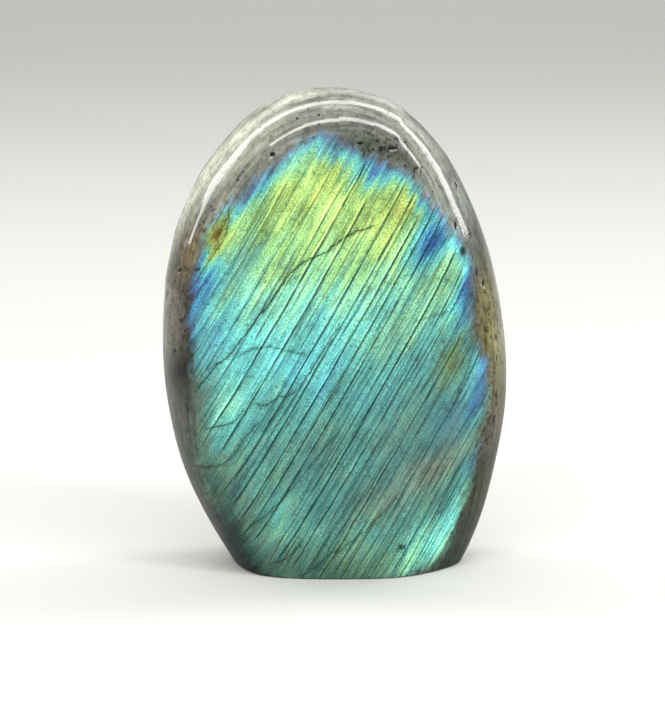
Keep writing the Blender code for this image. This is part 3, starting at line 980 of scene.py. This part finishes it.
class LABRADORITE_OT_stone(bpy.types.Operator):
    """Grinds the stone, marks it and polishes it"""

    bl_idname = "labradorite.stone"
    bl_label = "Make the stone"

    def execute(self, context):
        form = context.scene.labradorite_form
        finish = context.scene.labradorite_finish
        grid, base_middle, top = stone_grid(form)
        points = np.concatenate([[base_middle], grid.reshape(-1, 3), [top]])

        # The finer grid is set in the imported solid's box, which it would pass by a few hundredths of a mm.
        low, high = (np.array(corner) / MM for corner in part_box("stone"))
        own_low, own_high = points.min(axis=0), points.max(axis=0)
        fit = np.minimum((high - low) / (own_high - own_low), 1.0)
        points = (points - (own_low + own_high) / 2) * fit + (low + high) / 2
        grid = points[1:-1].reshape(grid.shape)

        core = form.core_height / MM
        normals = grid_normals(grid)
        grid = grid + normals * wheel_marks(*np.moveaxis(grid, -1, 0), core)[..., None]
        normals = grid_normals(grid)
        pits = np.full(grid.shape[:2], CLEAR_OF_PIT)
        for pit in PITS:
            pits = np.minimum(pits, spot_distance(grid, normals, *pit))
        spots = np.zeros(grid.shape[:2])
        for *spot, dark in SPOTS:
            spots = np.maximum(spots, dark * smooth(1.3, 0.2, spot_distance(grid, normals, *spot)))
        depth = form.pit_depth / MM * smooth(1.15, 0.15, pits)
        grid = grid - normals * depth[..., None]
        points[1:-1] = grid.reshape(-1, 3)

        mesh = bpy.data.meshes.new("labradorite_stone")
        mesh.from_pydata((points * MM).tolist(), [], grid_faces(len(grid)))
        mesh.validate()
        mesh.shade_smooth()

        x, y, z = points.T
        front = smooth(-3, -10, y) * smooth(0.0, 0.3, z)
        across, along = twin_coordinates(x, y, z)
        edge, order, glow, left = flash_fields(x, z, across, along, front)
        write_field(mesh, "flash", edge, order, glow)
        write_field(mesh, "twin", *twin_fields(across, along, front))
        write_field(mesh, "crack", *crack_fields(x, z, front), left)
        # The grid has one more point at each end, and neither has a pit or a spot.
        pits = np.pad(pits.ravel(), 1, constant_values=CLEAR_OF_PIT)
        spots = np.pad(spots.ravel(), 1)
        write_field(mesh, "marks", pits, spots, speck_field(x, y, z))
        angle, inset = rim_place(x, z, core)
        write_field(mesh, "rim", RIM_RADIUS * np.cos(angle), inset * MM, RIM_RADIUS * np.sin(angle))
        write_field(mesh, "tint_and_painted_light", *tint_and_painted_light_field(x, y, z, core, tuple(finish.back)).T)

        mesh.materials.append(polished_labradorite(finish))
        mesh.materials.append(sawn_labradorite(finish))
        sawn = np.zeros(len(mesh.polygons), np.int32)
        sawn[: BASE_ROWS * TURN_STEPS] = 1
        sawn[(len(grid) - 1) * TURN_STEPS : len(grid) * TURN_STEPS] = 1
        mesh.polygons.foreach_set("material_index", sawn)
        mesh.update()

        stone = bpy.data.objects.new("labradorite_stone", mesh)
        context.scene.collection.objects.link(stone)
        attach(stone, "root")
        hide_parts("stone")
        return {"FINISHED"}


def area_lamp(context, name, place, target, along, size, power):
    """A flat lamp at a place, facing a target, with its length laid along a direction."""
    back = (Vector(place) - Vector(target)).normalized()
    side = (Vector(along) - back * back.dot(along)).normalized()
    lamp = bpy.data.lights.new(name, "AREA")
    lamp.shape = "RECTANGLE"
    lamp.size, lamp.size_y = size
    lamp.energy = power
    holder = bpy.data.objects.new(name, lamp)
    turn = Matrix((side, back.cross(side), back)).transposed().to_4x4()
    holder.matrix_world = Matrix.Translation(place) @ turn
    context.scene.collection.objects.link(holder)
    return holder


def lamp_arch(context, name, radiance):
    """Flat lamps end to end in an arch over the stone, mirrored round the rim as one bright line.

    A lamp's power is its radiance times pi times its area.
    """
    radius, gain, depths, widths, unseen = ARCHES[name]
    lamp_length = 2 * radius * math.tan(ARCH_STEP / 2)
    for number, (depth, width) in enumerate(zip(depths, widths)):
        angle = math.pi / 2 + (number - (len(widths) - 1) / 2) * ARCH_STEP
        across, up = math.cos(angle), math.sin(angle)
        place = (radius * across, depth, ARCH_MIDDLE.z + radius * up)
        power = gain * radiance * math.pi * lamp_length * width
        size = (lamp_length, width)
        lamp = area_lamp(context, f"{name} {number}", place, ARCH_MIDDLE, (-up, 0, across), size, power)
        lamp.visible_glossy = number not in unseen


class LABRADORITE_OT_stage(bpy.types.Operator):
    """Lays the pale floor and sets the lamps and the camera"""

    bl_idname = "labradorite.stage"
    bl_label = "Set the stage"

    def execute(self, context):
        scene = context.scene
        studio = scene.labradorite_studio

        # A flat square floor: x and y run over an even grid and z is 0.
        half = studio.floor_size / 2
        side = FLOOR_STEPS + 1
        line = np.linspace(-half, half, side)
        x, y = (values.ravel() for values in np.meshgrid(line, line))
        points = np.stack([x, y, 0 * x], axis=1)
        cell = (np.arange(FLOOR_STEPS)[:, None] * side + np.arange(FLOOR_STEPS)).ravel()
        faces = np.stack([cell, cell + 1, cell + side + 1, cell + side], axis=1)
        mesh = bpy.data.meshes.new("floor")
        mesh.from_pydata(points.tolist(), [], faces.tolist())
        mesh.materials.append(matt_board(studio))
        floor = bpy.data.objects.new("floor", mesh)
        scene.collection.objects.link(floor)

        # The even light is dim. What the camera sees beyond the floor is a backdrop of its own brightness.
        world = bpy.data.worlds.new("even light")
        world.use_nodes = True
        world.node_tree.nodes.clear()
        seen = add_node(world.node_tree, "LightPath")["Is Camera Ray"]
        glow = add_node(world.node_tree, "MapRange", (seen, 0.0, 1.0, studio.ambient, studio.backdrop))[0]
        light = add_node(world.node_tree, "Background", ((1, 1, 1, 1), glow))[0]
        add_node(world.node_tree, "OutputWorld", (light,))
        scene.world = world

        # Only the lamps of the arches are mirrored in the polish.
        for name in ARCHES:
            lamp_arch(context, name, studio.arches)
        for name, place, target, size, power in (
            ("overhead", (0, 1.6, 3.2), (0, 1.6, 0), (8, 7), studio.overhead),
            ("fill", (-0.5, -1.9, 1.0), (0, 0, 0.05), (1.4, 1.0), studio.fill),
            ("behind", (0, 2.8, 1.7), (0, 2.8, 0), (8, 2.4), studio.behind),
        ):
            lamp = area_lamp(context, name, place, target, (1, 0, 0), size, power)
            lamp.visible_glossy = False

        # The lens gives the picture its scale at the stone.
        lift = studio.elevation
        back = Vector((0, -math.cos(lift), math.sin(lift)))
        up = Vector((0, math.sin(lift), math.cos(lift)))
        middle = Vector((0, 0, (PACKED_BOX[0][2] + PACKED_BOX[1][2]) / 2))
        aim = middle - up * AIM_BELOW - Vector((AIM_LEFT, 0, 0))
        camera = bpy.data.cameras.new("camera")
        camera.lens = PICTURE_SCALE * studio.distance * camera.sensor_width / PICTURE_HEIGHT
        camera.clip_start = 0.01
        holder = bpy.data.objects.new("camera", camera)
        facing = (-back).to_track_quat("-Z", "Y")
        holder.matrix_world = Matrix.Translation(aim + back * studio.distance) @ facing.to_matrix().to_4x4()
        scene.collection.objects.link(holder)
        scene.camera = holder
        scene.view_settings.view_transform = "Standard"
        return {"FINISHED"}


class LABRADORITE_PT_panel(bpy.types.Panel):
    """Lists the sizes, the colours and the steps"""

    bl_label = "Labradorite"
    bl_space_type = "VIEW_3D"
    bl_region_type = "UI"
    bl_category = "Labradorite"

    def draw(self, context):
        scene = context.scene
        for group in (scene.labradorite_form, scene.labradorite_finish, scene.labradorite_studio):
            box = self.layout.box()
            for name in group.__annotations__:
                box.prop(group, name)
        self.layout.operator(LABRADORITE_OT_stone.bl_idname)
        self.layout.operator(LABRADORITE_OT_stage.bl_idname)


CLASSES = (
    LabradoriteForm,
    LabradoriteFinish,
    LabradoriteStudio,
    LABRADORITE_OT_stone,
    LABRADORITE_OT_stage,
    LABRADORITE_PT_panel,
)


def register():
    for item in CLASSES:
        bpy.utils.register_class(item)
    bpy.types.Scene.labradorite_form = PointerProperty(type=LabradoriteForm)
    bpy.types.Scene.labradorite_finish = PointerProperty(type=LabradoriteFinish)
    bpy.types.Scene.labradorite_studio = PointerProperty(type=LabradoriteStudio)


def unregister():
    del bpy.types.Scene.labradorite_studio
    del bpy.types.Scene.labradorite_finish
    del bpy.types.Scene.labradorite_form
    for item in reversed(CLASSES):
        bpy.utils.unregister_class(item)


def main():
    register()
    bpy.ops.labradorite.stone()
    bpy.ops.labradorite.stage()


if __name__ == "__main__":
    main()
